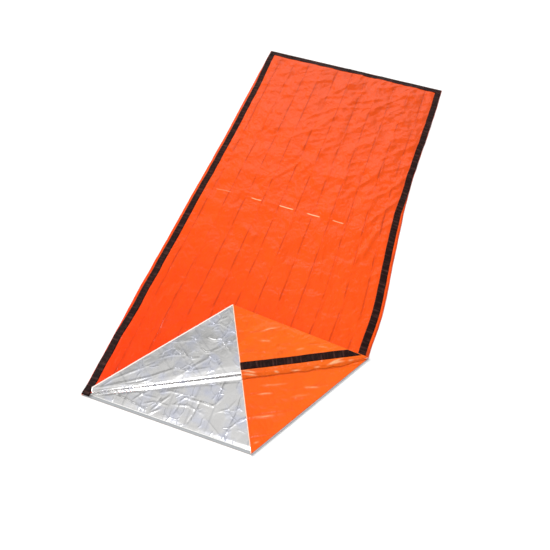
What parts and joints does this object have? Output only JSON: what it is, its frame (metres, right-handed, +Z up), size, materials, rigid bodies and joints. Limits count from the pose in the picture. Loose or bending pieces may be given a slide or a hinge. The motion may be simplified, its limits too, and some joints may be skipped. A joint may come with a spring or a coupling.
{
  "type": "bivy sack",
  "caption": "Flat emergency bivy sack of two metallised films with taped side and foot seams, open at the mouth, one mouth corner folded open to show the lining.",
  "frame": {"origin": "on the floor, under the middle of the sack's bounding box", "axes": "+Z up, +Y from the mouth to the foot end, +X towards the side whose mouth corner opens"},
  "size_m": [0.9, 2, 0.0133],
  "materials": {
    "film_outside": "thin orange polyethylene film, glossy and creased",
    "film_inside": "vacuum-metallised side of the film",
    "seam_tape": "black woven seam tape"
  },
  "bodies": {
    "sack": {"bottom_panel": "film_outside", "bottom_mouth_hem": "film_inside", "top_panel": "film_outside", "left_lap": "film_outside", "right_lap": "film_outside", "foot_lap": "film_outside", "left_tape": "seam_tape", "right_tape": "seam_tape", "foot_tape": "seam_tape"},
    "top_turnback": {"top_turnback": "film_inside"},
    "top_corner": {"top_corner": "film_outside", "corner_seam_strip": "film_outside", "corner_tape": "seam_tape"},
    "bottom_corner": {"bottom_corner": "film_outside", "corner_lap": "film_outside"}
  },
  "joints": [
    {"name": "bottom_corner_fold", "type": "hinge", "parent": "sack", "child": "bottom_corner", "pos_m": [0.45, -0.54, 0.0026], "axis": [0.522, 0.853, 0], "range_deg": [0, 180], "deforming": ["corner_lap"]},
    {"name": "top_turnback_fold", "type": "hinge", "parent": "sack", "child": "top_turnback", "pos_m": [0.45, -0.54, 0.0096], "axis": [0.8904, 0.4551, 0], "range_deg": [0, 180]},
    {"name": "top_corner_fold", "type": "hinge", "parent": "top_turnback", "child": "top_corner", "pos_m": [0.45, -0.54, 0.0118], "axis": [-0.9971, 0.0766, 0], "range_deg": [0, 180], "deforming": ["corner_seam_strip", "corner_tape"]}
  ],
  "couplings": [
    {"joint": "top_turnback_fold", "follows": "bottom_corner_fold", "ratio": 1},
    {"joint": "top_corner_fold", "follows": "bottom_corner_fold", "ratio": 1}
  ]
}
